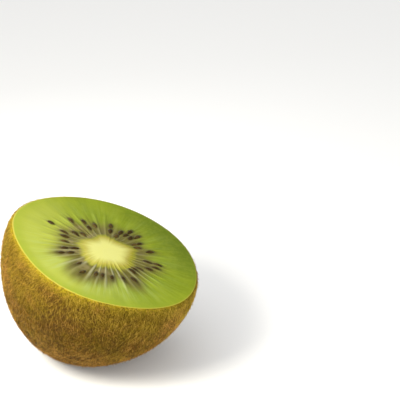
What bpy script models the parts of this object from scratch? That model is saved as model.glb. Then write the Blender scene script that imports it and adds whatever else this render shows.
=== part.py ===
"""Half of a kiwi fruit, cut across its middle and lying on its round side.

The half is modelled upright, with its cut face at z = 0 and its blossom end below, then tipped over and
set down. The finished solid rests on a small flat spot centred on the world origin. Metres, +Z up.
"""

import math
import random

import bmesh
import bpy
from mathutils import Euler, Matrix, Vector

MM = 0.001

# The whole half
WIDEST_RADIUS = 26.0 * MM
CUT_TO_WIDEST = 4.4 * MM
HALF_DEPTH = 33.4 * MM
SIDE_POWER = 1.82
END_LEAN = Vector((-1.6, 0.2)) * MM
TIP_ANGLE = math.radians(18.3)
REST_SPOT_DEPTH = 0.5 * MM

# The cut rim and the blossom end
RIM_ROUNDING = 0.35 * MM
END_NUB_RADIUS = 1.9 * MM
END_NUB_HEIGHT = 0.3 * MM

# The cut face
CORE_RADIUS = 7.3 * MM
CORE_RISE = 0.3 * MM
CORE_SLOPE = 1.2 * MM
CHAMBERS = 36
CHAMBER_END = 15.5 * MM
CHAMBER_FADE = 3.5 * MM
CHAMBER_SINK = 0.45 * MM
OUTER_FLESH_SAG = 0.25 * MM
OUTER_FLESH_END = 22.3 * MM

# Waves round the fruit: how many, how large as a share of the radius, and where one crests in degrees
OUTLINE_WAVES = ((3, 0.008, 44), (4, 0.011, -25), (5, 0.006, 28))
CORE_WAVES = ((2, 0.09, 45), (5, 0.085, 28))
# How the seed chambers crowd and spread: how many times round, by how many radians, and the crest
CHAMBER_SHIFTS = ((2, 0.05, 20), (5, 0.03, 75), (11, 0.018, 40))

# The seeds: up to two in a chamber, and one that grew far out
SEED_SIZE = Vector((2.4, 1.45, 1.05)) * MM
SEEDS_IN_A_CHAMBER = (0, 1, 2)
SHARE_OF_CHAMBERS = (14, 62, 24)
FIRST_SEED = 8.7 * MM
LAST_SEED = 14.8 * MM
SEED_SPACING = 2.6 * MM
SEED_ABOVE_FLESH = 0.12 * MM
STRAY_SEED_CHAMBER = 15.9
STRAY_SEED = 16.3 * MM
SEED_DRAW = 15665
SEED_SIDES = 8
SEED_RINGS = 4

# How finely the turned body is divided
STEPS = 4 * CHAMBERS
CHEEK_STEPS = 11
TINY = 1e-5

FLESH_COLOUR = (0.36, 0.50, 0.07, 1.0)
FLESH_ROUGHNESS = 0.4


def clear_scene():
    for obj in list(bpy.data.objects):
        bpy.data.objects.remove(obj)


def collection_named(name):
    made = bpy.data.collections.new(name)
    bpy.context.scene.collection.children.link(made)
    return made


def move_to(obj, collection):
    for holder in list(obj.users_collection):
        holder.objects.unlink(obj)
    collection.objects.link(obj)


def smooth_step(low, high, value):
    share = min(1.0, max(0.0, (value - low) / (high - low)))
    return share * share * (3 - 2 * share)


def waves(table, angle):
    return sum(size * math.cos(count * (angle - math.radians(crest))) for count, size, crest in table)


def chamber_angle(turn):
    """The true angle of what would stand at the given turn if all chambers were equally wide."""
    angle = turn
    for _ in range(20):
        angle = turn - waves(CHAMBER_SHIFTS, angle)
    return angle


def cheek_radius(depth):
    """The skin's radius at a depth below the cut."""
    share = abs(depth - CUT_TO_WIDEST) / (HALF_DEPTH - CUT_TO_WIDEST)
    return WIDEST_RADIUS * max(0.0, 1 - share**SIDE_POWER) ** (1 / SIDE_POWER)


RIM_RADIUS = cheek_radius(0.0)
RIM_INSIDE = RIM_RADIUS - 2 * RIM_ROUNDING


def face_profile():
    """(radius, z) out along the cut face and over its rim."""
    core = (0.0, 0.5 * CORE_RADIUS, CORE_RADIUS - 0.5 * CORE_SLOPE, CORE_RADIUS + 0.5 * CORE_SLOPE)
    chambers = (10.0 * MM, 12.5 * MM, CHAMBER_END)
    outer_flesh = (CHAMBER_END + CHAMBER_FADE, OUTER_FLESH_END, RIM_INSIDE)
    rim = [(RIM_RADIUS - 0.5 * RIM_ROUNDING, -0.15 * RIM_ROUNDING), (RIM_RADIUS, -RIM_ROUNDING)]
    return [(radius, 0.0) for radius in core + chambers + outer_flesh] + rim


def cheek_profile():
    """(radius, z) down the skin, with the rings closest together where it curves most."""
    points = []
    for i in range(CHEEK_STEPS + 1):
        depth = CUT_TO_WIDEST + (HALF_DEPTH - CUT_TO_WIDEST) * math.sin(i / CHEEK_STEPS * math.pi / 2)
        points.append((cheek_radius(depth), -depth))
    return [(radius, z) for radius, z in points if radius > 1.5 * END_NUB_RADIUS]


def nub_profile():
    """(radius, z) over the small hard spot that the blossom leaves."""
    return [
        (1.2 * END_NUB_RADIUS, 0.5 * END_NUB_HEIGHT - HALF_DEPTH),
        (0.8 * END_NUB_RADIUS, -0.7 * END_NUB_HEIGHT - HALF_DEPTH),
        (0.0, -END_NUB_HEIGHT - HALF_DEPTH),
    ]


def turned_mesh(profile):
    """The profile turned about Z, as a closed mesh."""
    lines = [(i, i + 1) for i in range(len(profile) - 1)]
    outline = bpy.data.meshes.new("profile")
    outline.from_pydata([(radius, 0, z) for radius, z in profile], lines, [])
    guide = bpy.data.objects.new("profile", outline)
    bpy.context.scene.collection.objects.link(guide)
    screw = guide.modifiers.new("turn", "SCREW")
    screw.axis = "Z"
    screw.angle = math.tau
    screw.steps = STEPS
    screw.render_steps = STEPS
    screw.use_merge_vertices = True
    screw.merge_threshold = TINY
    turned = finished_mesh(guide)
    bpy.data.objects.remove(guide)
    return turned


def finished_mesh(obj):
    """A new mesh of the object with its modifiers applied."""
    return bpy.data.meshes.new_from_object(obj.evaluated_get(bpy.context.evaluated_depsgraph_get()))


def grown_radius(radius, angle):
    """A radius on the turned cut face made uneven, as the core's star and the fruit's outline are."""
    in_core = 1 - smooth_step(CORE_RADIUS, CHAMBER_END - CHAMBER_FADE, radius)
    at_rim = smooth_step(CHAMBER_END - CHAMBER_FADE, RIM_INSIDE, radius)
    return radius * (1 + in_core * waves(CORE_WAVES, angle) + at_rim * waves(OUTLINE_WAVES, angle))


def face_height(radius, turn):
    """How far the cut face stands above or below the knife's plane."""
    past_core = smooth_step(CORE_RADIUS - 0.5 * CORE_SLOPE, CORE_RADIUS + 0.5 * CORE_SLOPE, radius)
    past_chambers = smooth_step(CHAMBER_END, CHAMBER_END + CHAMBER_FADE, radius)
    near_rim = smooth_step(OUTER_FLESH_END, RIM_INSIDE, radius)
    wall = (0.5 + 0.5 * math.cos(CHAMBERS * turn)) ** 2
    sunk = CHAMBER_SINK * past_core * (1 - past_chambers) * (1 - wall)
    return CORE_RISE * (1 - past_core) - sunk - OUTER_FLESH_SAG * past_chambers * (1 - near_rim)


def grown_point(point):
    """Where a point of the turned body lies on the uneven fruit."""
    turn = math.atan2(point.y, point.x)
    angle = chamber_angle(turn)
    radius = math.hypot(point.x, point.y)
    depth_share = max(0.0, -point.z) / HALF_DEPTH
    height = point.z
    if point.z > -TINY:
        height += face_height(radius, turn)
        radius = grown_radius(radius, angle)
    else:
        radius *= 1 + (1 - depth_share) * waves(OUTLINE_WAVES, angle)
    lean = END_LEAN * depth_share**2
    return Vector((radius * math.cos(angle) + lean.x, radius * math.sin(angle) + lean.y, height))


def make_body(collection, flesh):
    mesh = turned_mesh(face_profile() + cheek_profile() + nub_profile())
    mesh.name = "kiwi_half"
    shape = bmesh.new()
    shape.from_mesh(mesh)
    for vertex in shape.verts:
        vertex.co = grown_point(vertex.co)
    bmesh.ops.triangulate(shape, faces=shape.faces)
    bmesh.ops.recalc_face_normals(shape, faces=shape.faces)
    shape.to_mesh(mesh)
    shape.free()
    mesh.materials.append(flesh)
    body = bpy.data.objects.new("kiwi_half", mesh)
    collection.objects.link(body)
    return body


def seed_places():
    """(chamber, radius) of every seed that the knife has laid bare, a chamber's middle being at 0.5."""
    draw = random.Random(SEED_DRAW)
    places = []
    for chamber in range(CHAMBERS):
        count = draw.choices(SEEDS_IN_A_CHAMBER, weights=SHARE_OF_CHAMBERS)[0]
        radius = 0.0
        for i in range(count):
            side = draw.uniform(-0.25, 0.25)
            if i == 0:
                radius = draw.uniform(FIRST_SEED, LAST_SEED - SEED_SPACING * (count - 1))
            else:
                radius += SEED_SPACING
            places.append((chamber + 0.5 + side, radius))
    places.append((STRAY_SEED_CHAMBER, STRAY_SEED))
    return places


def make_seeds(collection):
    draw = random.Random(SEED_DRAW)
    on_its_side = Matrix.Rotation(math.pi / 2, 4, "Y")
    for number, (chamber, radius) in enumerate(seed_places()):
        turn = math.tau * chamber / CHAMBERS
        angle = chamber_angle(turn)
        across = grown_radius(radius, angle)
        height = face_height(radius, turn) + SEED_ABOVE_FLESH
        facing = Euler((0.0, draw.uniform(-0.2, 0.2), angle + draw.uniform(-0.25, 0.25)))
        stretch = Matrix.Diagonal((*(SEED_SIZE * draw.uniform(0.88, 1.1)), 1.0))
        place = Matrix.Translation((across * math.cos(angle), across * math.sin(angle), height))
        bpy.ops.mesh.primitive_uv_sphere_add(segments=SEED_SIDES, ring_count=SEED_RINGS, radius=0.5)
        seed = bpy.context.object
        seed.name = f"seed_{number:02d}"
        seed.data.transform(place @ facing.to_matrix().to_4x4() @ stretch @ on_its_side)
        move_to(seed, collection)


def combine(body, operation, collection):
    """Joins the collection's objects to the body, or cuts them from it, and removes them."""
    boolean = body.modifiers.new("combine", "BOOLEAN")
    boolean.operation = operation
    boolean.operand_type = "COLLECTION"
    boolean.collection = collection
    boolean.solver = "EXACT"
    bpy.context.view_layer.update()
    combined = finished_mesh(body)
    body.modifiers.remove(boolean)
    body.data = combined
    for obj in list(collection.objects):
        bpy.data.objects.remove(obj)


def set_down(body):
    """Tips the half over, and brings the middle of its rest spot to the origin."""
    body.data.transform(Matrix.Rotation(TIP_ANGLE, 4, "Y"))
    floor = min(vertex.co.z for vertex in body.data.vertices) + REST_SPOT_DEPTH
    foot = [vertex.co for vertex in body.data.vertices if vertex.co.z < floor]
    middle_x = (min(co.x for co in foot) + max(co.x for co in foot)) / 2
    middle_y = (min(co.y for co in foot) + max(co.y for co in foot)) / 2
    body.data.transform(Matrix.Translation((-middle_x, -middle_y, -floor)))


def make_ground_cutter(collection):
    """A block below the ground, which cuts the rest spot level."""
    side = 4 * WIDEST_RADIUS
    bpy.ops.mesh.primitive_cube_add(size=side, location=(0, 0, -side / 2))
    ground = bpy.context.object
    ground.name = "ground_cutter"
    ground.hide_render = True
    ground.display_type = "WIRE"
    move_to(ground, collection)


def flesh_material():
    material = bpy.data.materials.new("flesh")
    material.use_nodes = True
    surface = material.node_tree.nodes["Principled BSDF"]
    surface.inputs["Base Color"].default_value = FLESH_COLOUR
    surface.inputs["Roughness"].default_value = FLESH_ROUGHNESS
    surface.inputs["Metallic"].default_value = 0.0
    return material


def main():
    clear_scene()
    fruit = collection_named("kiwi_half")
    seeds = collection_named("seeds")
    cutters = collection_named("cutters")
    body = make_body(fruit, flesh_material())
    make_seeds(seeds)
    combine(body, "UNION", seeds)
    set_down(body)
    make_ground_cutter(cutters)
    combine(body, "DIFFERENCE", cutters)
    body.data.shade_smooth()
    body.data.set_sharp_from_angle(angle=math.radians(40))


main()
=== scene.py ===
"""Dresses a half kiwi fruit: wet green flesh with its core and seeds, a thin brown peel and its hairs."""

import math
import random
from typing import NamedTuple

import bmesh
import bpy
import numpy as np
from bpy.props import FloatProperty, FloatVectorProperty, IntProperty, PointerProperty
from bpy.types import Operator, Panel, PropertyGroup
from mathutils import Euler, Matrix, Vector


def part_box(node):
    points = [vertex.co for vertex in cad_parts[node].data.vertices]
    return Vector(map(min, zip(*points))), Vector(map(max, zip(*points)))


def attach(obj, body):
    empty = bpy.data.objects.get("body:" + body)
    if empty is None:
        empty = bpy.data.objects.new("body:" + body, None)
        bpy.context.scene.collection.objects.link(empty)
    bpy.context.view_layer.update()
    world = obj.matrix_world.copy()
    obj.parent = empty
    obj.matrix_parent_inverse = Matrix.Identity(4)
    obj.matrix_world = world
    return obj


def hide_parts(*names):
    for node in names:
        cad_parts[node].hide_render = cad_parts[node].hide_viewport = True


bl_info = {
    "name": "Half Kiwi Fruit",
    "version": (1, 0, 0),
    "blender": (4, 5, 0),
    "location": "3D View > Sidebar > Kiwi",
    "description": "Builds the flesh, seeds, peel and hairs of a half kiwi fruit on its frame",
    "category": "Add Mesh",
}

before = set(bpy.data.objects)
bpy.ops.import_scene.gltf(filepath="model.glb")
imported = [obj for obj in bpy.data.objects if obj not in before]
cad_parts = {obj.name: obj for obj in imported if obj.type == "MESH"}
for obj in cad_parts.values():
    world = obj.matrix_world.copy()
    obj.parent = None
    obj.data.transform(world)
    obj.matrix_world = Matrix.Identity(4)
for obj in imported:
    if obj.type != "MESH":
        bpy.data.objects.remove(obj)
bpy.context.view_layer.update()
NODE = "kiwi_half"
BODY = "root"

MM = 0.001

# The shape of the half, upright, with its cut face at z = 0
WIDEST_RADIUS = 26.0 * MM
CUT_TO_WIDEST = 4.4 * MM
HALF_DEPTH = 33.4 * MM
SIDE_POWER = 1.82
END_LEAN = np.array((-1.6, 0.2)) * MM
TIP_ANGLE = math.radians(18.3)
RIM_ROUNDING = 0.35 * MM
END_NUB_RADIUS = 1.9 * MM
END_NUB_HEIGHT = 0.3 * MM
CORE_RADIUS = 7.3 * MM
CORE_RISE = 0.3 * MM
CORE_SLOPE = 3.0 * MM
CHAMBERS = 36
CHAMBER_END = 15.5 * MM
CHAMBER_FADE = 3.5 * MM
CHAMBER_SINK = 0.15 * MM
OUTER_FLESH_SAG = 0.1 * MM
OUTER_FLESH_END = 22.3 * MM
# How far into the peel the flesh ends, as a share of the peel's thickness
FLESH_INSET = 0.8
# Above this z a point of the upright half is on its cut face
CUT_LEVEL = -1e-5
# Points nearer than this are one
SAME_PLACE = 1e-7

# Waves round the fruit: how many, how large as a share of the radius, and where one crests in degrees
OUTLINE_WAVES = ((3, 0.008, 44), (4, 0.011, -25), (5, 0.006, 28))
CORE_WAVES = ((2, 0.09, 45), (5, 0.085, 28))
# How the seed chambers crowd and spread: how many times round, by how many radians, and the crest
CHAMBER_SHIFTS = ((2, 0.05, 20), (5, 0.03, 75), (11, 0.018, 40))

# Where the seeds lie
SEEDS_IN_A_CHAMBER = (0, 1, 2)
SHARE_OF_CHAMBERS = (14, 62, 24)
FIRST_SEED = 8.7 * MM
LAST_SEED = 14.8 * MM
SEED_SPACING = 2.6 * MM
SEED_SWAY = 0.25  # of a chamber, to either side
SEED_ABOVE_FLESH = -0.05 * MM
STRAY_SEED_CHAMBER = 15.9
STRAY_SEED = 16.3 * MM
SEED_DRAW = 15665

# How seeds differ: in size, and by how many radians they lean and turn
SEED_SIZES = (0.88, 1.1)
SEED_LEAN = 0.2
SEED_TURN = 0.25
# How much narrower a seed is at its point, and how far the point is drawn out, as a share of its length
SEED_TAPER = 0.35
SEED_POINT = 0.08

# How far the flesh is stained by a seed: beside it, towards the core, outwards, and besides at the front
STAIN_BESIDE = 0.8 * MM
STAIN_INWARDS = 1.25 * MM
STAIN_OUTWARDS = 1.7 * MM
STAIN_FRONT = 1.1 * MM
STAIN_RISE = 0.22 * MM

# How far out the dark juice shows: with no seed, past the outermost seed, and besides at the front
JUICE_ALONE = (11.5 * MM, 14.0 * MM)
JUICE_PAST_SEED = (1.0 * MM, 2.4 * MM)
JUICE_FRONT = 3.0 * MM

# The side where light and sheen are painted onto the flesh and peel, the side where shade is painted onto
# the flesh, and where whitish fibres show most
PAINTED_LIGHT_SIDE = math.radians(200)
PAINTED_SHADE_SIDE = math.radians(40)
PITHY_SIDE = math.radians(250)

# Painted light that makes the hairs beside the cut palest at two sides: the side in degrees, and by how much
# of their range
HAIR_PAINTED_LIGHT = ((222, 0.42), (330, 0.36))
# Painted shade that makes hairs darker at the front: the middle and breadth of a band, from 0 at the fruit's
# widest ring to 1 at the end, and by how much of their range
HAIR_PAINTED_SHADE = ((0.25, 0.2, 0.66), (-0.1, 0.08, 0.3))

# Hairs stand closer together beside the cut: how many times more of them, and how far down that fades
MORE_HAIRS_AT_CUT = 1.6
MORE_HAIRS_FADE = 0.9 * MM
# How the hairs sit: how deep in the peel, how far off the floor, and how far below the knife's plane
HAIR_ROOT_DEPTH = 0.08 * MM
LOWEST_HAIR_ROOT = 0.12 * MM
HAIR_ABOVE_FLOOR = 0.02 * MM
HAIR_ROOT_BELOW_CUT = 0.15 * MM
HAIR_BELOW_CUT = 0.05 * MM
# How much the hairs curl to the side, as a share of their length, and how much those that stand up droop
HAIR_CURL = 0.3
HAIR_DROOP = 0.15
HAIR_WIDTHS = (0.8, 1.2)

# How finely the pieces are divided: steps round, and rings
FLESH_STEPS = 720
FLESH_SIDE_RINGS = 14
# Rings of the cut face in mm: where a zone starts and ends, and how far apart its rings are
FACE_ZONES = ((0.0, 6.0, 0.75), (6.0, 17.0, 0.22), (17.0, 24.4, 0.5), (24.6, 24.9, 0.25))
LAST_RING_WIDTH = 0.2 * MM
SKIN_STEPS = 480
SKIN_RINGS = 70
SKIN_INSIDE_RINGS = 26
WEDGES = 12
SEED_SEGMENTS = (20, 14)
# How finely the half is measured, to place it and to spread its hairs
OUTLINE_RINGS = 60
OUTLINE_TURNS = 360
PEEL_STEPS = 200
HAIR_STEPS = 400

# Which way the sky is brightest, and where the camera aims, in mm right and up of the cut face's middle
BRIGHT_SKY = (-0.50, -0.60, 0.62)
CAMERA_AIM = (24.58, 13.25, 0.0)
LENS = 206.2
SENSOR = 36.0


class HairKind(NamedTuple):
    """One kind of hair: its number of rings, its lengths and thickness in mm, how many degrees it stands
    off the peel, and how pale it is, with the spread of that."""

    name: str
    rings: int
    lengths: tuple
    thickness: float
    lift: tuple
    tint: tuple


HAIR_KINDS = (
    HairKind("down", 2, (0.5, 1.0), 0.030, (20, 60), (0.4, 0.35)),
    HairKind("stubble", 2, (0.8, 1.5), 0.026, (3, 22), (0.5, 0.4)),
    HairKind("bristles", 3, (1.3, 2.2), 0.027, (3, 17), (0.7, 0.4)),
    HairKind("long_bristles", 3, (1.6, 2.6), 0.027, (3, 17), (1.1, 0.3)),
    HairKind("coarse_hairs", 3, (0.6, 1.2), 0.046, (25, 70), (0.5, 0.3)),
)


def srgb(red, green, blue):
    """A colour given as on a screen, 0 to 255, in linear light."""
    return tuple(((part / 255 + 0.055) / 1.055) ** 2.4 for part in (red, green, blue)) + (1.0,)


def colour(name, description, red, green, blue):
    shade = srgb(red, green, blue)
    return FloatVectorProperty(
        name=name, description=description, default=shade, size=4, subtype="COLOR", min=0, max=1
    )


def length(name, description, default):
    return FloatProperty(name=name, description=description, default=default, unit="LENGTH", min=0)


def share(name, description, default):
    return FloatProperty(name=name, description=description, default=default, subtype="FACTOR", min=0, max=1)


def how_many(name, description, default):
    return IntProperty(name=name, description=description, default=default, min=0)


def light_power(name, description, default):
    return FloatProperty(name=name, description=description, default=default, unit="POWER", min=0)


class KiwiFleshSettings(PropertyGroup):
    core: colour("Core", "Middle of the core", 188, 187, 111)
    core_edge: colour("Core edge", "Outside of the core, where the chambers begin", 140, 130, 36)
    chamber: colour("Chambers", "Watery flesh round the seeds", 80, 73, 22)
    wall: colour("Chamber walls", "Pale walls between the chambers", 140, 139, 108)
    flesh: colour("Flesh", "Outer flesh", 106, 122, 10)
    streak: colour("Streaks", "Lighter streaks in the outer flesh", 126, 140, 19)
    # Pale flesh in fine specks, and painted sheen and light on the lit side of the cut face
    pale_flesh_and_sheen: colour("Pale flesh and painted sheen", "Pale flesh, with painted sheen and light on one side", 149, 155, 58)
    # The deep flesh colour is painted shade on the far side of the cut face
    painted_shade_flesh: colour("Painted shade", "Flesh darkened by painted shade on the other side", 70, 88, 5)
    pith: colour("Pith", "Whitish fibres in the flesh", 150, 168, 112)
    film: colour("Film", "Thin film of flesh between the seeds", 116, 106, 68)
    rim: colour("Rim", "Last layer under the peel", 160, 148, 54)
    stain: colour("Stain", "Flesh that a seed shows through", 58, 51, 12)
    roughness: share("Roughness", "How matt the cut is under its film of juice", 0.62)
    wetness: share("Wetness", "How much of the cut the film of juice covers", 0.25)
    glow: share("Glow", "How much light goes through the flesh", 0.55)


class KiwiSeedSettings(PropertyGroup):
    seed_length: length("Length", "Length of a seed", 2.6 * MM)
    width: length("Width", "Width of a seed", 1.35 * MM)
    thickness: length("Thickness", "Thickness of a seed", 1.05 * MM)
    dark: colour("Colour", "Bare seed coat", 48, 36, 8)
    film: colour("Film", "Seed coat under a film of flesh", 84, 68, 30)


class KiwiSkinSettings(PropertyGroup):
    thickness: length("Thickness", "Thickness of the peel", 0.3 * MM)
    brown: colour("Brown", "Most of the peel", 74, 52, 12)
    gold: colour("Gold", "Lighter patches of the peel", 100, 80, 12)
    # The dark colour also gives painted shade towards the blossom end, underneath the lying fruit
    dark: colour("Dark", "Specks, and painted shade towards the blossom end", 44, 28, 8)
    at_cut: colour("At the cut", "Peel that light shines through beside the cut", 154, 136, 26)


class KiwiHairSettings(PropertyGroup):
    down: how_many("Down", "How many short hairs", 14000)
    stubble: how_many("Stubble", "How many hairs of middle length that lie close", 19500)
    bristles: how_many("Bristles", "How many curved hairs", 12400)
    long_bristles: how_many("Long bristles", "How many long pale hairs", 9000)
    coarse_hairs: how_many("Coarse hairs", "How many stiff hairs that stand out", 6000)
    pale: colour("Pale", "Lightest hairs towards the blossom end", 194, 148, 70)
    straw: colour("Straw", "Lightest hairs towards the cut", 184, 154, 58)
    brown: colour("Brown", "Most hairs towards the blossom end", 114, 76, 25)
    olive: colour("Olive", "Most hairs towards the cut", 114, 94, 16)
    dark: colour("Dark", "Darkest hairs", 40, 26, 6)


class KiwiStageSettings(PropertyGroup):
    floor: colour("Floor", "Plain pale floor", 250, 250, 249)
    sky: FloatProperty(name="Sky", description="Strength of the light from all round", default=0.70, min=0)
    key: light_power("Key", "Power of the light over the left side", 0.29)
    warmth: colour("Key colour", "Slightly warm colour of that light", 255, 251, 238)
    fill: light_power("Fill", "Power of the low light at the right", 1.0)
    sheen: light_power("Sheen", "Power of the light that the wet cut mirrors", 0.02)
    elevation: FloatProperty(
        name="Camera height",
        description="Angle that the camera looks down by",
        default=math.radians(30),
        subtype="ANGLE",
    )
    distance: length("Camera distance", "From the camera to the fruit", 600 * MM)


class KiwiSettings(PropertyGroup):
    flesh: PointerProperty(name="Flesh", description="The cut face", type=KiwiFleshSettings)
    seeds: PointerProperty(name="Seeds", description="The seeds in the cut face", type=KiwiSeedSettings)
    skin: PointerProperty(name="Peel", description="The thin brown peel", type=KiwiSkinSettings)
    hairs: PointerProperty(name="Hairs", description="The hairs on the peel", type=KiwiHairSettings)
    stage: PointerProperty(name="Stage", description="Floor, light and camera", type=KiwiStageSettings)


class Number:
    """A node's output. Arithmetic on it adds Math nodes to its shader."""

    def __init__(self, shader, socket):
        self.shader = shader
        self.socket = socket

    def math(self, operation, *values):
        return self.shader.add("ShaderNodeMath", {"operation": operation}, dict(enumerate(values)))

    def __add__(self, other):
        return self.math("ADD", self, other)

    def __radd__(self, other):
        return self.math("ADD", other, self)

    def __sub__(self, other):
        return self.math("SUBTRACT", self, other)

    def __rsub__(self, other):
        return self.math("SUBTRACT", other, self)

    def __mul__(self, other):
        return self.math("MULTIPLY", self, other)

    def __rmul__(self, other):
        return self.math("MULTIPLY", other, self)

    def __truediv__(self, other):
        return self.math("DIVIDE", self, other)

    def __rtruediv__(self, other):
        return self.math("DIVIDE", other, self)

    def __abs__(self):
        return self.math("ABSOLUTE", self)

    def fraction(self):
        return self.math("FRACT", self)

    def cosine(self):
        return self.math("COSINE", self)

    def sine(self):
        return self.math("SINE", self)

    def step(self, low, high):
        """0 below low, 1 above high and smooth between them."""
        limits = {0: self, 1: low, 2: high}
        return self.shader.add("ShaderNodeMapRange", {"interpolation_type": "SMOOTHSTEP"}, limits)


class Shader:
    """The nodes of a new material or sky."""

    def __init__(self, owner):
        owner.use_nodes = True
        self.owner = owner
        self.tree = owner.node_tree
        self.tree.nodes.clear()

    def add(self, kind, settings, inputs, output=0):
        """Adds a node, with its settings first and then the values or links of its sockets."""
        node = self.tree.nodes.new(kind)
        for name, value in settings.items():
            if name == "stops":
                self.set_stops(node.color_ramp, value)
            else:
                setattr(node, name, value)
        for key, value in inputs.items():
            if isinstance(value, Number):
                self.tree.links.new(value.socket, node.inputs[key])
            else:
                node.inputs[key].default_value = value
        return Number(self, node.outputs[output]) if node.outputs else None

    @staticmethod
    def set_stops(ramp, stops):
        while len(ramp.elements) < len(stops):
            ramp.elements.new(1.0)
        for element, (position, value) in zip(ramp.elements, stops):
            element.position = position
            element.color = value

    def place(self):
        return self.add("ShaderNodeTexCoord", {}, {}, "Object")

    def attribute(self, name):
        return self.add("ShaderNodeAttribute", {"attribute_name": name}, {}, "Fac")

    def uv(self, name):
        """The two numbers of a UV map."""
        spot = self.add("ShaderNodeUVMap", {"uv_map": name}, {})
        return (
            self.add("ShaderNodeSeparateXYZ", {}, {0: spot}, 0),
            self.add("ShaderNodeSeparateXYZ", {}, {0: spot}, 1),
        )

    def vector(self, x, y, z):
        return self.add("ShaderNodeCombineXYZ", {}, {0: x, 1: y, 2: z})

    def noise(self, where, scale, detail=2.0, roughness=0.5):
        values = {"Vector": where, "Scale": scale, "Detail": detail, "Roughness": roughness}
        return self.add("ShaderNodeTexNoise", {}, values)

    def mix(self, amount, first, second):
        return self.add("ShaderNodeMix", {"data_type": "RGBA"}, {0: amount, 6: first, 7: second}, 2)

    def ramp(self, amount, *stops):
        return self.add("ShaderNodeValToRGB", {"stops": stops}, {0: amount})

    def bump(self, height, strength, distance):
        values = {"Height": height, "Strength": strength, "Distance": distance}
        return self.add("ShaderNodeBump", {}, values)

    def surface(self, values):
        """Finishes the material with one Principled surface."""
        body = self.add("ShaderNodeBsdfPrincipled", {}, values)
        self.add("ShaderNodeOutputMaterial", {}, {"Surface": body})
        return self.owner


def smooth_step(low, high, value):
    part = np.clip((value - low) / (high - low), 0, 1)
    return part * part * (3 - 2 * part)


def waves(table, angle):
    """The height that a table's waves add up to at an angle."""
    return sum(size * np.cos(count * (angle - math.radians(crest))) for count, size, crest in table)


def chamber_angle(turn):
    """The true angle of what would stand at the given turn if all chambers were equally wide.

    Each round brings it nearer, and after twenty it no longer changes."""
    angle = turn
    for _ in range(20):
        angle = turn - waves(CHAMBER_SHIFTS, angle)
    return angle


def cheek_radius(depth):
    """The skin's radius at a depth below the cut."""
    part = np.abs(depth - CUT_TO_WIDEST) / (HALF_DEPTH - CUT_TO_WIDEST)
    return WIDEST_RADIUS * np.maximum(0.0, 1 - part**SIDE_POWER) ** (1 / SIDE_POWER)


RIM_RADIUS = float(cheek_radius(0.0))
RIM_INSIDE = RIM_RADIUS - 2 * RIM_ROUNDING


def cheek_depth(slope):
    """The depth at which the skin has turned by this angle from its widest ring towards the end."""
    return CUT_TO_WIDEST + (HALF_DEPTH - CUT_TO_WIDEST) * np.sin(slope)


CUT_SLOPE = -math.asin(CUT_TO_WIDEST / (HALF_DEPTH - CUT_TO_WIDEST))


def cheek_inside(gap, rings):
    """(radius, z) of a line that lies inside the skin by a gap, from the cut to the end."""
    across = 1 - gap / WIDEST_RADIUS
    down = 1 - gap / HALF_DEPTH
    depths = cheek_depth(np.linspace(CUT_SLOPE, 0.5 * math.pi, rings))
    return [(float(cheek_radius(depth)) * across, -float(depth) * down) for depth in depths]


def grown_radius(radius, angle):
    """A radius on the turned cut face made uneven, as the core's star and the fruit's outline are."""
    in_core = 1 - smooth_step(CORE_RADIUS, CHAMBER_END - CHAMBER_FADE, radius)
    at_rim = smooth_step(CHAMBER_END - CHAMBER_FADE, RIM_INSIDE, radius)
    return radius * (1 + in_core * waves(CORE_WAVES, angle) + at_rim * waves(OUTLINE_WAVES, angle))


def face_height(radius, turn):
    """How far the cut face stands above or below the knife's plane."""
    past_core = smooth_step(CORE_RADIUS - 0.5 * CORE_SLOPE, CORE_RADIUS + 0.5 * CORE_SLOPE, radius)
    past_chambers = smooth_step(CHAMBER_END, CHAMBER_END + CHAMBER_FADE, radius)
    near_rim = smooth_step(OUTER_FLESH_END, RIM_INSIDE, radius)
    wall = (0.5 + 0.5 * np.cos(CHAMBERS * turn)) ** 3
    sunk = CHAMBER_SINK * past_core * (1 - past_chambers) * (1 - wall)
    return CORE_RISE * (1 - past_core) - sunk - OUTER_FLESH_SAG * past_chambers * (1 - near_rim)


def on_cheek(radius, turn, z):
    """Points of the turned side, given by radius, turn and z, on the uneven fruit."""
    angle = chamber_angle(turn)
    depth_share = np.maximum(0.0, -z) / HALF_DEPTH
    across = radius * (1 + (1 - depth_share) * waves(OUTLINE_WAVES, angle))
    lean = END_LEAN * depth_share[:, None] ** 2
    return np.column_stack((across * np.cos(angle) + lean[:, 0], across * np.sin(angle) + lean[:, 1], z))


def tipped(points):
    return points @ np.array(Matrix.Rotation(TIP_ANGLE, 3, "Y")).T


def skin_profile(rings):
    """(radius, z) from the blossom end up the peel and over the cut's edge."""
    nub = [
        (0.0, -END_NUB_HEIGHT - HALF_DEPTH),
        (0.5 * END_NUB_RADIUS, -0.95 * END_NUB_HEIGHT - HALF_DEPTH),
        (0.8 * END_NUB_RADIUS, -0.7 * END_NUB_HEIGHT - HALF_DEPTH),
        (1.2 * END_NUB_RADIUS, 0.5 * END_NUB_HEIGHT - HALF_DEPTH),
    ]
    slopes = np.linspace(0.5 * math.pi, CUT_SLOPE, rings)
    cheek = [(float(cheek_radius(depth)), -float(depth)) for depth in cheek_depth(slopes)]
    cheek = [(radius, z) for radius, z in cheek if radius > 1.5 * END_NUB_RADIUS and z < -RIM_ROUNDING]
    edge = [(RIM_RADIUS, -RIM_ROUNDING), (RIM_RADIUS - 0.5 * RIM_ROUNDING, -0.15 * RIM_ROUNDING)]
    return nub + cheek + edge


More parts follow.
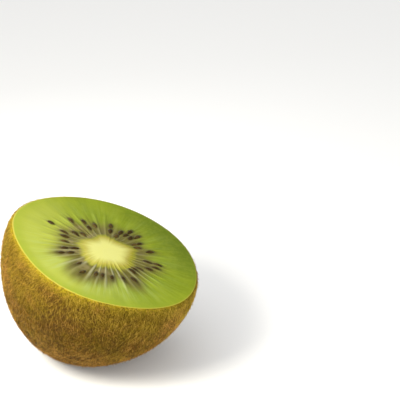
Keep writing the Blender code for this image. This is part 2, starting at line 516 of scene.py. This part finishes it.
def face_centre():
    """Where the middle of the cut face lies, found by fitting the fruit's outline into the frame's box."""
    radius, z = (np.array(part) for part in zip(*skin_profile(OUTLINE_RINGS)))
    rows, turns = np.meshgrid(np.arange(len(radius)), np.linspace(0, math.tau, OUTLINE_TURNS))
    outline = tipped(on_cheek(radius[rows.ravel()], turns.ravel(), z[rows.ravel()]))
    low, high = (np.array(corner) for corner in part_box(NODE))
    shift = 0.5 * (low + high - outline.min(0) - outline.max(0))
    shift[2] = high[2] - outline[:, 2].max()
    return shift


FACE_CENTRE = face_centre()


def laid_down(points, above_ground=0.0):
    """Points of the upright half tipped over and set down, pressed flat where they would be too low."""
    placed = tipped(points) + FACE_CENTRE
    placed[:, 2] = np.maximum(placed[:, 2], above_ground)
    return placed


def seed_places():
    """(chamber, radius) of every seed that the knife has laid bare, a chamber's middle being at 0.5."""
    draw = random.Random(SEED_DRAW)
    places = []
    for chamber in range(CHAMBERS):
        count = draw.choices(SEEDS_IN_A_CHAMBER, weights=SHARE_OF_CHAMBERS)[0]
        radius = 0.0
        for i in range(count):
            side = draw.uniform(-SEED_SWAY, SEED_SWAY)
            if i == 0:
                radius = draw.uniform(FIRST_SEED, LAST_SEED - SEED_SPACING * (count - 1))
            else:
                radius += SEED_SPACING
            places.append((chamber + 0.5 + side, radius))
    places.append((STRAY_SEED_CHAMBER, STRAY_SEED))
    return places


def spun(profile, steps):
    """The profile turned about Z as a closed bmesh: one wedge is spun, and copies of it fill the turn."""
    shape = bmesh.new()
    line = [shape.verts.new((radius, 0, z)) for radius, z in profile]
    edges = [shape.edges.new(pair) for pair in zip(line, line[1:])]
    middle = (0, 0, 0)
    angle = math.tau / WEDGES
    steps = steps // WEDGES
    bmesh.ops.spin(shape, geom=line + edges, cent=middle, axis=(0, 0, 1), angle=angle, steps=steps)
    wedge = shape.verts[:] + shape.edges[:] + shape.faces[:]
    for number in range(1, WEDGES):
        copy = bmesh.ops.duplicate(shape, geom=wedge)["geom"]
        corners = [part for part in copy if isinstance(part, bmesh.types.BMVert)]
        turn = Matrix.Rotation(math.tau * number / WEDGES, 3, "Z")
        bmesh.ops.rotate(shape, cent=middle, matrix=turn, verts=corners)
    bmesh.ops.remove_doubles(shape, verts=shape.verts, dist=SAME_PLACE)
    bmesh.ops.recalc_face_normals(shape, faces=shape.faces)
    return shape


def wrap(shape, name, across):
    """Gives each corner its turn, 0 to 1, and the number that across makes of its radius and z."""
    layer = shape.loops.layers.uv.new(name)
    for face in shape.faces:
        face.smooth = True
        turns = [math.atan2(loop.vert.co.y, loop.vert.co.x) / math.tau % 1 for loop in face.loops]
        off_axis = [turn for turn, loop in zip(turns, face.loops) if loop.vert.co.xy.length > SAME_PLACE]
        crosses = max(off_axis) - min(off_axis) > 0.5
        if crosses:
            off_axis = [turn + (turn < 0.5) for turn in off_axis]
        middle = sum(off_axis) / len(off_axis)
        for turn, loop in zip(turns, face.loops):
            place = loop.vert.co
            turn = turn + (crosses and turn < 0.5) if place.xy.length > SAME_PLACE else middle
            loop[layer].uv = (turn, across(place.xy.length, place.z))


def new_object(name, data):
    made = bpy.data.objects.new(name, data)
    bpy.context.scene.collection.objects.link(made)
    return made


def finished_mesh(name, shape):
    mesh = bpy.data.meshes.new(name)
    shape.to_mesh(mesh)
    shape.free()
    return mesh


def new_piece(name, mesh, material):
    """Links a finished mesh as a piece that stands for the frame's node."""
    piece = new_object(name, mesh)
    mesh.materials.clear()
    mesh.materials.append(material)
    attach(piece, BODY)
    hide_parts(NODE)
    return piece


def mesh_points(mesh):
    points = np.empty(3 * len(mesh.vertices))
    mesh.vertices.foreach_get("co", points)
    return points.reshape(-1, 3)


def turned_points(mesh):
    """The points of a mesh that was spun, with the turn and the radius of each."""
    points = mesh_points(mesh)
    return points, np.arctan2(points[:, 1], points[:, 0]), np.hypot(points[:, 0], points[:, 1])


def set_points(mesh, points):
    mesh.vertices.foreach_set("co", points.ravel())
    mesh.update()


def add_attribute(mesh, name, values):
    layer = mesh.attributes.new(name, "FLOAT", "POINT")
    layer.data.foreach_set("value", np.asarray(values, np.float32))


def seed_closeness(radius, turn):
    """1 on a seed, falling to 0 about a seed's length away."""
    angle = chamber_angle(turn)
    across = grown_radius(radius, angle)
    close = np.zeros(len(radius))
    for chamber, seed_radius in seed_places():
        seed_angle = float(chamber_angle(math.tau * chamber / CHAMBERS))
        seed_across = float(grown_radius(seed_radius, seed_angle))
        sideways = np.abs((angle - seed_angle + math.pi) % math.tau - math.pi) * across
        outwards = across - seed_across
        past_seed = STAIN_OUTWARDS + STAIN_FRONT * max(0.0, -math.sin(seed_angle))
        stretch = np.where(outwards > 0, past_seed, STAIN_INWARDS)
        close = np.maximum(close, np.exp(-((sideways / STAIN_BESIDE) ** 2) - (outwards / stretch) ** 2))
    return close


def chamber_reaches():
    """How far out each chamber's dark juice shows: past its outermost seed."""
    draw = random.Random(SEED_DRAW)
    reaches = [draw.uniform(*JUICE_ALONE) for _ in range(CHAMBERS)]
    for chamber, radius in seed_places()[:-1]:
        index = int(chamber) % CHAMBERS
        to_front = max(0.0, -math.sin(math.tau * chamber / CHAMBERS))
        past_seed = draw.uniform(*JUICE_PAST_SEED) + JUICE_FRONT * to_front
        reaches[index] = max(reaches[index], radius + past_seed)
    return np.array(reaches)


def make_flesh(look, peel):
    """The flesh up to the peel, with a finely divided cut face."""
    inset = FLESH_INSET * peel.thickness
    edge = RIM_RADIUS - inset
    face = [radius * MM for zone in FACE_ZONES for radius in np.arange(*zone)]
    face += [edge - LAST_RING_WIDTH, edge]
    side = cheek_inside(inset, FLESH_SIDE_RINGS)[1:]
    shape = spun([(radius, 0.0) for radius in face] + side, FLESH_STEPS)
    wrap(shape, "chambers", lambda radius, z: radius / WIDEST_RADIUS if z > CUT_LEVEL else 1.0)
    mesh = finished_mesh("flesh", shape)
    even, turn, radius = turned_points(mesh)
    on_face = even[:, 2] > CUT_LEVEL
    close = np.where(on_face, seed_closeness(radius, turn), 0.0)
    angle = chamber_angle(turn)
    across = grown_radius(radius, angle)
    height = face_height(radius, turn) + STAIN_RISE * close
    top = np.column_stack((across * np.cos(angle), across * np.sin(angle), height))
    points = np.where(on_face[:, None], top, on_cheek(radius, turn, even[:, 2]))
    set_points(mesh, laid_down(points, inset))
    add_attribute(mesh, "seed", close)
    chamber = turn / math.tau * CHAMBERS % CHAMBERS
    middles = np.arange(CHAMBERS) + 0.5
    add_attribute(mesh, "reach", np.interp(chamber, middles, chamber_reaches(), period=CHAMBERS) / MM)
    return new_piece("flesh", mesh, flesh_finish(look))


def flesh_finish(look):
    """The cut face's wet flesh. Every radius here is in mm, on the face before it is made uneven."""
    shader = Shader(bpy.data.materials.new("wet kiwi flesh"))
    turn, out = shader.uv("chambers")
    place = shader.place()
    seed = shader.attribute("seed")
    reach = shader.attribute("reach")
    angle = turn * math.tau
    ring_x = angle.cosine()
    ring_y = angle.sine()
    radius = out * (WIDEST_RADIUS / MM)

    def towards(side):
        """1 on this side of the core, -1 on the other."""
        return ring_x * math.cos(side) + ring_y * math.sin(side)

    toward_painted_light = towards(PAINTED_LIGHT_SIDE)
    toward_painted_shade = towards(PAINTED_SHADE_SIDE)
    pithy = towards(PITHY_SIDE).step(0.15, 1.0)
    front = 1 - ring_y.step(-0.8, 0.3)

    # Patterns that run outwards, and two that don't
    broad = shader.noise(shader.vector(ring_x * 6, ring_y * 6, radius * 0.10), 1.0, 2.0)
    rays = shader.noise(shader.vector(ring_x * 15, ring_y * 15, radius * 0.05), 1.0, 2.0)
    fibres = shader.noise(shader.vector(ring_x * 40, ring_y * 40, radius * 0.16), 1.0, 2.0)
    grain = shader.noise(place, 900.0, 3.0, 0.6)
    patch = shader.noise(place, 300.0, 2.0)
    frayed = radius + (rays - 0.5) * 2.6
    soft = frayed + (fibres - 0.5) * 2.2
    from_core = frayed + (fibres - 0.5) * 2.4 - 0.65 * ring_x + 0.9 * ring_y

    # The chambers with their walls and juice, and the pale rays outside them
    from_middle = abs((turn * CHAMBERS).fraction() * 2 - 1)
    half_width = radius * (math.pi / CHAMBERS)
    thickness = (0.09 + (radius - 7) * 0.017) * (0.5 + broad)
    wall = from_middle.step(1 - 2.7 * thickness / half_width, 1)
    wall_end = 9.5 + broad * 9.0 - ring_y * 4.0
    wall_shows = from_core.step(6.6, 8.6) * (1 - (radius - wall_end).step(-8.0, 4.0)) * rays.step(0.2, 0.65)
    into_chamber = 1 - from_middle.step(0.6, 1.0) * 0.3
    past_core = from_core.step(6.6, 8.8)
    past_reach = soft - reach
    juice = past_core * (1 - past_reach.step(-3.5, 3.2)) * into_chamber
    haze = past_core * (1 - past_reach.step(-5.0, 1.8))
    ray_shows = radius.step(9.0, 14.0) * (1 - radius.step(18.0, 25.0))
    ray = (rays * 0.6 + fibres * 0.4).step(0.42, 0.66) * ray_shows

    # Colours: the outer flesh, then what lies over it, and last the core and the rim
    green = shader.mix(broad.step(0.35, 0.65) * 0.6 + fibres.step(0.4, 0.65) * 0.25, look.flesh, look.streak)
    # Painted sheen and light: paler flesh towards the lit side
    green = shader.mix((radius * toward_painted_light).step(-3.0, 18.0) * (0.55 + 0.5 * broad), green, look.pale_flesh_and_sheen)
    # Painted shade: deeper green flesh towards the shaded side, and fewer light streaks there near the rim
    green = shader.mix((radius * toward_painted_shade).step(12.0, 25.0) * (0.5 + 0.5 * broad), green, look.painted_shade_flesh)
    green = shader.mix(pithy * (0.02 + 0.10 * rays), green, look.pith)
    green = shader.mix(ray * (0.10 + 0.24 * pithy), green, look.pith)
    green = shader.mix(radius.step(21.0, 25.2) * (0.35 - 0.3 * toward_painted_shade), green, look.streak)
    green = shader.mix(grain.step(0.42, 0.62) * 0.12, green, look.pale_flesh_and_sheen)
    green = shader.mix(haze * (0.35 + 0.6 * fibres), green, look.film)
    colours = shader.mix(juice * (0.30 + 0.17 * front + fibres * 0.8), green, look.chamber)
    near_seeds = 1 - radius.step(12.0, 17.0)
    film = juice * patch.step(0.45, 0.65) * near_seeds * (0.2 + 0.7 * toward_painted_light.step(-0.4, 0.8))
    colours = shader.mix(film, colours, look.film)
    colours = shader.mix(wall * wall_shows * (0.30 + 0.20 * front + 0.28 * pithy), colours, look.wall)
    colours = shader.mix(seed.step(0.15, 0.85) * (0.65 + 0.4 * grain), colours, look.stain)
    colours = shader.mix(1 - from_core.step(6.0, 8.6), colours, look.core_edge)
    colours = shader.mix(1 - (from_core + 0.1 + 0.3 * ring_x).step(3.5, 7.7), colours, look.core)
    # The rim is painted lighter towards the lit side: painted light
    colours = shader.mix(radius.step(24.9, 25.15) * (0.75 + 0.25 * toward_painted_light), colours, look.rim)

    relief = fibres * 0.5 + grain * 0.19
    return shader.surface(
        {
            "Base Color": colours,
            "Roughness": look.roughness + (grain - 0.5) * 0.2,
            "Coat Weight": look.wetness,
            "Coat Roughness": 0.16,
            "Coat IOR": 1.33,
            "Normal": shader.bump(relief, 0.35, 0.1 * MM),
            "Subsurface Weight": look.glow,
            "Subsurface Radius": (1.0, 0.85, 0.25),
            "Subsurface Scale": 1.6 * MM,
            "IOR": 1.36,
            "Specular IOR Level": 0.3,
        }
    )


def make_seeds(settings):
    """Every bare seed, pointed towards the core, in one piece."""
    draw = random.Random(SEED_DRAW)
    seeds = bmesh.new()
    size = Vector((settings.seed_length, settings.width, settings.thickness))
    on_its_side = Matrix.Rotation(0.5 * math.pi, 4, "Y")
    round_it, along = SEED_SEGMENTS
    for chamber, radius in seed_places():
        turn = math.tau * chamber / CHAMBERS
        angle = float(chamber_angle(turn))
        across = float(grown_radius(radius, angle))
        height = float(face_height(radius, turn)) + SEED_ABOVE_FLESH
        lean = draw.uniform(-SEED_LEAN, SEED_LEAN)
        facing = Euler((0.0, lean, angle + draw.uniform(-SEED_TURN, SEED_TURN)))
        stretch = Matrix.Diagonal((*(size * draw.uniform(*SEED_SIZES)), 1.0))
        made = bmesh.ops.create_uvsphere(seeds, u_segments=round_it, v_segments=along, radius=0.5)
        for vertex in made["verts"]:
            vertex.co = on_its_side @ vertex.co
            towards_core = max(0.0, -2 * vertex.co.x)
            vertex.co.yz = vertex.co.yz * (1 - SEED_TAPER * towards_core**1.5)
            vertex.co.x -= SEED_POINT * towards_core**3
        place = Matrix.Translation((across * math.cos(angle), across * math.sin(angle), height))
        bmesh.ops.transform(seeds, matrix=place @ facing.to_matrix().to_4x4() @ stretch, verts=made["verts"])
    for face in seeds.faces:
        face.smooth = True
    bmesh.ops.recalc_face_normals(seeds, faces=seeds.faces)
    mesh = finished_mesh("seeds", seeds)
    set_points(mesh, laid_down(mesh_points(mesh)))
    return new_piece("seeds", mesh, seed_finish(settings))


def seed_finish(settings):
    """Dark seed coats, partly under a film of flesh."""
    shader = Shader(bpy.data.materials.new("wet seed coat"))
    place = shader.place()
    film = shader.noise(place, 420.0, 2.0)
    pits = shader.noise(place, 3200.0, 2.0)
    colours = shader.mix(film.step(0.48, 0.72) * 0.7, settings.dark, settings.film)
    return shader.surface(
        {
            "Base Color": colours,
            "Roughness": 0.22 + film * 0.3,
            "Normal": shader.bump(pits, 0.4, 0.04 * MM),
            "Specular IOR Level": 0.12,
        }
    )


def make_skin(settings):
    """The peel, a closed shell from the cut's edge to the blossom end."""
    inside = cheek_inside(settings.thickness, SKIN_INSIDE_RINGS)
    inside[0] = (inside[0][0], -0.3 * RIM_ROUNDING)
    inside[-1] = (0.0, inside[-1][1])
    shape = spun(skin_profile(SKIN_RINGS) + inside, SKIN_STEPS)
    wrap(shape, "peel", lambda radius, z: -z / HALF_DEPTH)
    mesh = finished_mesh("skin", shape)
    even, turn, radius = turned_points(mesh)
    grown = on_cheek(radius, turn, even[:, 2])
    outer = radius > np.interp(-even[:, 2], *skin_middle(settings.thickness))
    set_points(mesh, np.where(outer[:, None], laid_down(grown), laid_down(grown, settings.thickness)))
    return new_piece("skin", mesh, skin_finish(settings))


def skin_middle(thickness):
    """(depths, radii) half way through the peel."""
    depths = cheek_depth(np.linspace(CUT_SLOPE, 0.5 * math.pi, PEEL_STEPS))
    return depths, cheek_radius(depths) * (1 - 0.5 * thickness / WIDEST_RADIUS)


def skin_finish(settings):
    """Mottled brown peel, golden where light shines through it beside the cut, and darker with painted shade
    towards the blossom end.
    """
    shader = Shader(bpy.data.materials.new("kiwi peel"))
    turn, down = shader.uv("peel")
    place = shader.place()
    patches = shader.noise(place, 90.0, 2.0)
    mottle = shader.noise(place, 700.0, 4.0, 0.7)
    specks = shader.noise(place, 3000.0, 2.0, 0.6)
    depth = down * (HALF_DEPTH / MM) + (mottle - 0.5) * 5.0
    colours = shader.mix((patches * 0.4 + mottle * 0.6).step(0.38, 0.62), settings.brown, settings.gold)
    lit_side = (turn * math.tau - PAINTED_LIGHT_SIDE).cosine() * 0.5 + 0.5
    colours = shader.mix((1 - depth.step(-0.6, 3.4)) * (0.35 + 0.55 * lit_side), colours, settings.at_cut)
    colours = shader.mix(specks.step(0.46, 0.62) * 0.75, colours, settings.dark)
    # Painted shade: darker towards the blossom end, underneath the lying fruit
    colours = shader.mix(depth.step(10.0, 40.0) * 0.5, colours, settings.dark)
    relief = mottle * 0.3 + specks * 0.6
    return shader.surface(
        {
            "Base Color": colours,
            "Roughness": 0.6 + mottle * 0.3,
            "Specular IOR Level": 0.05,
            "Normal": shader.bump(relief, 0.7, 0.2 * MM),
        }
    )


def hair_roots(count, draw):
    """Places of hairs spread evenly over the peel, and the ways down, round and out of it there."""
    slopes = np.linspace(CUT_SLOPE, 0.5 * math.pi, HAIR_STEPS)
    depths = cheek_depth(slopes)
    radii = cheek_radius(depths)
    strips = 0.5 * (radii[1:] + radii[:-1]) * np.hypot(np.diff(radii), np.diff(depths))
    strips *= 1 + MORE_HAIRS_AT_CUT * np.exp(-depths[1:] / MORE_HAIRS_FADE)
    area = np.concatenate(([0.0], np.cumsum(strips)))
    slope = np.interp(draw.random(count) * area[-1], area, slopes)
    turn = draw.random(count) * math.tau

    def peel_point(slope, turn):
        depth = cheek_depth(slope)
        return tipped(on_cheek(cheek_radius(depth), turn, -depth)) + FACE_CENTRE

    nudge = 0.004
    root = peel_point(slope, turn)
    down = unit(peel_point(slope + nudge, turn) - peel_point(slope - nudge, turn))
    round_it = unit(peel_point(slope, turn + nudge) - peel_point(slope, turn - nudge))
    return root, down, round_it, unit(np.cross(down, round_it)), slope, turn


def unit(vectors):
    return vectors / np.maximum(np.linalg.norm(vectors, axis=1, keepdims=True), 1e-12)


def hair_faces(rings, count):
    """The faces of hairs whose corners follow one another: rings of three from the root on, and a tip."""
    tip = 3 * rings
    pattern = [(0, 2, 1)]
    for ring in range(0, tip, 3):
        for side in range(3):
            first, second = ring + side, ring + (side + 1) % 3
            if ring + 3 < tip:
                pattern += [(first, second, second + 3), (first, second + 3, first + 3)]
            else:
                pattern.append((first, second, tip))
    faces = np.array(pattern)[None] + (tip + 1) * np.arange(count)[:, None, None]
    return faces.reshape(-1, 3)


def hair_shades(slope, turn, tint, draw):
    """How pale each hair is, from 0 to 1, with painted shade at the front and towards the end, and painted
    light at two sides by the cut.
    """
    to_end = np.maximum(0.0, np.sin(slope))
    front = np.maximum(0.0, -np.sin(turn)) ** 4
    # Painted shade: hairs darker towards the end, underneath, and in bands at the front
    shade = draw.normal(*tint, len(slope)) - 0.1 * to_end
    for height, breadth, darker in HAIR_PAINTED_SHADE:
        shade = shade - darker * np.exp(-(((np.sin(slope) - height) / breadth) ** 2)) * front
    # Painted light: paler hairs by the cut on the two lit sides
    for side, paler in HAIR_PAINTED_LIGHT:
        shade = shade + paler * ((1 - to_end) * np.maximum(0.0, np.cos(turn - math.radians(side)))) ** 2
    return np.clip(shade, 0, 1)


def make_hairs(kind, count, settings, seed):
    """One kind of hair all over the peel: three-sided, curved and pointed."""
    draw = np.random.default_rng(seed)
    root, down, round_it, out, slope, turn = hair_roots(count, draw)
    to_end = np.maximum(0.0, np.sin(slope))
    # The hairs lean to the side in broad waves, and each by itself, more so towards the end
    swirl = 0.35 * np.sin(3 * turn + 5 * slope) + 0.25 * np.sin(7 * turn - 9 * slope + 1)
    swirl = (swirl + draw.normal(0, 1, count) * (0.45 + 0.5 * to_end))[:, None]
    rise = np.radians(draw.uniform(*kind.lift, count))[:, None]
    along = np.cos(swirl) * down + np.sin(swirl) * round_it
    way = np.cos(rise) * along + np.sin(rise) * out
    curl = draw.normal(0, HAIR_CURL, count)[:, None]
    bend = curl * (np.cos(swirl) * round_it - np.sin(swirl) * down) - HAIR_DROOP * np.sin(rise) * out
    size = draw.uniform(*kind.lengths, count)[:, None] * MM
    width = kind.thickness * MM * draw.uniform(*HAIR_WIDTHS, count)[:, None]
    side = unit(np.cross(way, out))
    other = np.cross(way, side)
    root = root - HAIR_ROOT_DEPTH * out
    corners = []
    for part in np.arange(kind.rings) / kind.rings:
        centre = root + size * (part * way + part**2 * bend)
        for at in (0.0, math.tau / 3, 2 * math.tau / 3):
            corners.append(centre + (1 - 0.5 * part) * width * (math.cos(at) * side + math.sin(at) * other))
    corners = np.stack([*corners, root + size * (way + bend)], axis=1)
    keep = below_cut(root) & (root[:, 2] > LOWEST_HAIR_ROOT)
    corners = kept_below_cut(corners[keep].reshape(-1, 3))
    corners[:, 2] = np.maximum(corners[:, 2], HAIR_ABOVE_FLOOR)
    mesh = bpy.data.meshes.new(kind.name)
    mesh.from_pydata(corners, [], hair_faces(kind.rings, keep.sum()))
    mesh.shade_smooth()
    per_hair = 3 * kind.rings + 1
    # Each hair's own paleness, with painted light and shade added
    shade = hair_shades(slope, turn, kind.tint, draw)
    add_attribute(mesh, "tint", np.repeat(shade[keep], per_hair))
    add_attribute(mesh, "depth", np.repeat(np.sin(slope[keep]), per_hair))
    return new_piece(kind.name, mesh, hair_finish(kind.name, settings))


def upright(points):
    """Points of the lying fruit as they would be on the upright one."""
    return (points - FACE_CENTRE) @ np.array(Matrix.Rotation(TIP_ANGLE, 3, "Y"))


def below_cut(roots):
    return upright(roots)[:, 2] < -HAIR_ROOT_BELOW_CUT


def kept_below_cut(points):
    """Points moved to just below the knife's plane where they would stand above it."""
    over = np.maximum(upright(points)[:, 2] + HAIR_BELOW_CUT, 0.0)
    normal = np.array((math.sin(TIP_ANGLE), 0.0, math.cos(TIP_ANGLE)))
    return points - over[:, None] * normal


def hair_finish(name, settings):
    """Brown to pale hairs, more olive towards the cut and darker or lighter in clumps."""
    shader = Shader(bpy.data.materials.new(f"{name} finish"))
    place = shader.place()
    clumps = shader.noise(place, 260.0, 4.0, 0.7)
    # The tint attribute carries painted light and shade as well as each hair's own tone
    tint = shader.attribute("tint") + (clumps - 0.5) * 1.3
    depth = shader.attribute("depth")
    patch = shader.noise(place, 150.0, 3.0)
    colours = shader.ramp(tint, (0.0, settings.dark), (0.5, settings.brown), (1.0, settings.pale))
    rusty = (depth + (patch - 0.5) * 2.4).step(-0.3, 0.6)
    olive = shader.ramp(tint, (0.0, settings.dark), (0.5, settings.olive), (1.0, settings.straw))
    colours = shader.mix(rusty, olive, colours)
    return shader.surface({"Base Color": colours, "Roughness": 0.6, "Specular IOR Level": 0.03})


class KIWI_OT_flesh(Operator):
    """Add the flesh with its core and seed chambers"""

    bl_idname = "mesh.kiwi_flesh_add"
    bl_label = "Flesh"

    def execute(self, context):
        kiwi = context.scene.kiwi
        make_flesh(kiwi.flesh, kiwi.skin)
        return {"FINISHED"}


class KIWI_OT_seeds(Operator):
    """Add the seeds in the cut face"""

    bl_idname = "mesh.kiwi_seeds_add"
    bl_label = "Seeds"

    def execute(self, context):
        make_seeds(context.scene.kiwi.seeds)
        return {"FINISHED"}


class KIWI_OT_skin(Operator):
    """Add the peel"""

    bl_idname = "mesh.kiwi_skin_add"
    bl_label = "Peel"

    def execute(self, context):
        make_skin(context.scene.kiwi.skin)
        return {"FINISHED"}


class KIWI_OT_hairs(Operator):
    """Add the five kinds of hair on the peel"""

    bl_idname = "mesh.kiwi_hairs_add"
    bl_label = "Hairs"

    def execute(self, context):
        hairs = context.scene.kiwi.hairs
        for seed, kind in enumerate(HAIR_KINDS, 1):
            make_hairs(kind, getattr(hairs, kind.name), hairs, seed)
        return {"FINISHED"}


class KIWI_OT_stage(Operator):
    """Add the floor, the lights and the camera"""

    bl_idname = "scene.kiwi_stage_add"
    bl_label = "Stage"

    def execute(self, context):
        stage = context.scene.kiwi.stage
        add_floor(stage)
        add_sky(stage)
        add_light("key", stage.key, place=(-0.068, -0.060, 0.078), size=0.07, tint=stage.warmth)
        add_light("sheen", stage.sheen, place=(-0.030, 0.105, 0.060), size=0.07)
        add_light("fill", stage.fill, place=(0.280, -0.240, 0.020), size=0.16, mirrored=False)
        add_camera(stage)
        return {"FINISHED"}


def add_floor(stage):
    shape = bmesh.new()
    bmesh.ops.create_grid(shape, x_segments=1, y_segments=1, size=3.0)
    mesh = finished_mesh("floor", shape)
    shader = Shader(bpy.data.materials.new("floor"))
    mesh.materials.append(shader.surface({"Base Color": stage.floor, "Roughness": 0.8}))
    new_object("floor", mesh)


def add_sky(stage):
    """Light from all round, strongest from the upper left in front and weak from behind."""
    shader = Shader(bpy.data.worlds.new("sky"))
    way = shader.add("ShaderNodeTexCoord", {}, {}, "Generated")
    pair = {0: way, 1: BRIGHT_SKY}
    facing = shader.add("ShaderNodeVectorMath", {"operation": "DOT_PRODUCT"}, pair, "Value")
    strength = stage.sky * (0.22 + 1.2 * facing.step(-0.6, 0.7))
    light = shader.add("ShaderNodeBackground", {}, {"Color": (1.0, 1.0, 1.0, 1.0), "Strength": strength})
    shader.add("ShaderNodeOutputWorld", {}, {"Surface": light})
    bpy.context.scene.world = shader.owner


def add_light(name, power, place, size, tint=(1.0, 1.0, 1.0), mirrored=True):
    """A soft square light, placed from the middle of the cut face and turned towards it."""
    lamp = bpy.data.lights.new(name, "AREA")
    lamp.size = size
    lamp.energy = power
    lamp.color = tint[:3]
    light = new_object(name, lamp)
    light.visible_camera = False
    light.visible_glossy = mirrored
    light.location = Vector(FACE_CENTRE) + Vector(place)
    light.rotation_euler = (-Vector(place)).to_track_quat("-Z", "Y").to_euler()


def add_camera(stage):
    """A camera that frames the fruit at the lower left, as in the photograph."""
    lens = bpy.data.cameras.new("camera")
    lens.sensor_width = SENSOR
    lens.lens = LENS
    lens.clip_start = 0.01
    camera = new_object("camera", lens)
    camera.rotation_euler = (0.5 * math.pi - stage.elevation, 0.0, 0.0)
    axes = camera.rotation_euler.to_matrix()
    aim = Vector(FACE_CENTRE) + axes @ Vector(CAMERA_AIM) * MM
    camera.location = aim + axes @ Vector((0.0, 0.0, stage.distance))
    bpy.context.scene.camera = camera


class KIWI_PT_panel(Panel):
    """Lists the pieces and their settings"""

    bl_idname = "KIWI_PT_panel"
    bl_label = "Half Kiwi Fruit"
    bl_space_type = "VIEW_3D"
    bl_region_type = "UI"
    bl_category = "Kiwi"

    def draw(self, context):
        kiwi = context.scene.kiwi
        groups = ((KIWI_OT_flesh, kiwi.flesh), (KIWI_OT_seeds, kiwi.seeds), (KIWI_OT_skin, kiwi.skin))
        groups += ((KIWI_OT_hairs, kiwi.hairs), (KIWI_OT_stage, kiwi.stage))
        for operator, settings in groups:
            box = self.layout.box()
            box.operator(operator.bl_idname)
            for name in settings.bl_rna.properties.keys():
                if name not in ("rna_type", "name"):
                    box.prop(settings, name)


CLASSES = (
    KiwiFleshSettings,
    KiwiSeedSettings,
    KiwiSkinSettings,
    KiwiHairSettings,
    KiwiStageSettings,
    KiwiSettings,
    KIWI_OT_flesh,
    KIWI_OT_seeds,
    KIWI_OT_skin,
    KIWI_OT_hairs,
    KIWI_OT_stage,
    KIWI_PT_panel,
)


def register():
    for each in CLASSES:
        bpy.utils.register_class(each)
    bpy.types.Scene.kiwi = PointerProperty(name="Kiwi", description="Half kiwi fruit", type=KiwiSettings)


def unregister():
    del bpy.types.Scene.kiwi
    for each in reversed(CLASSES):
        bpy.utils.unregister_class(each)


def main():
    register()
    bpy.context.scene.view_settings.view_transform = "Standard"
    bpy.ops.mesh.kiwi_flesh_add()
    bpy.ops.mesh.kiwi_seeds_add()
    bpy.ops.mesh.kiwi_skin_add()
    bpy.ops.mesh.kiwi_hairs_add()
    bpy.ops.scene.kiwi_stage_add()


if __name__ == "__main__":
    main()
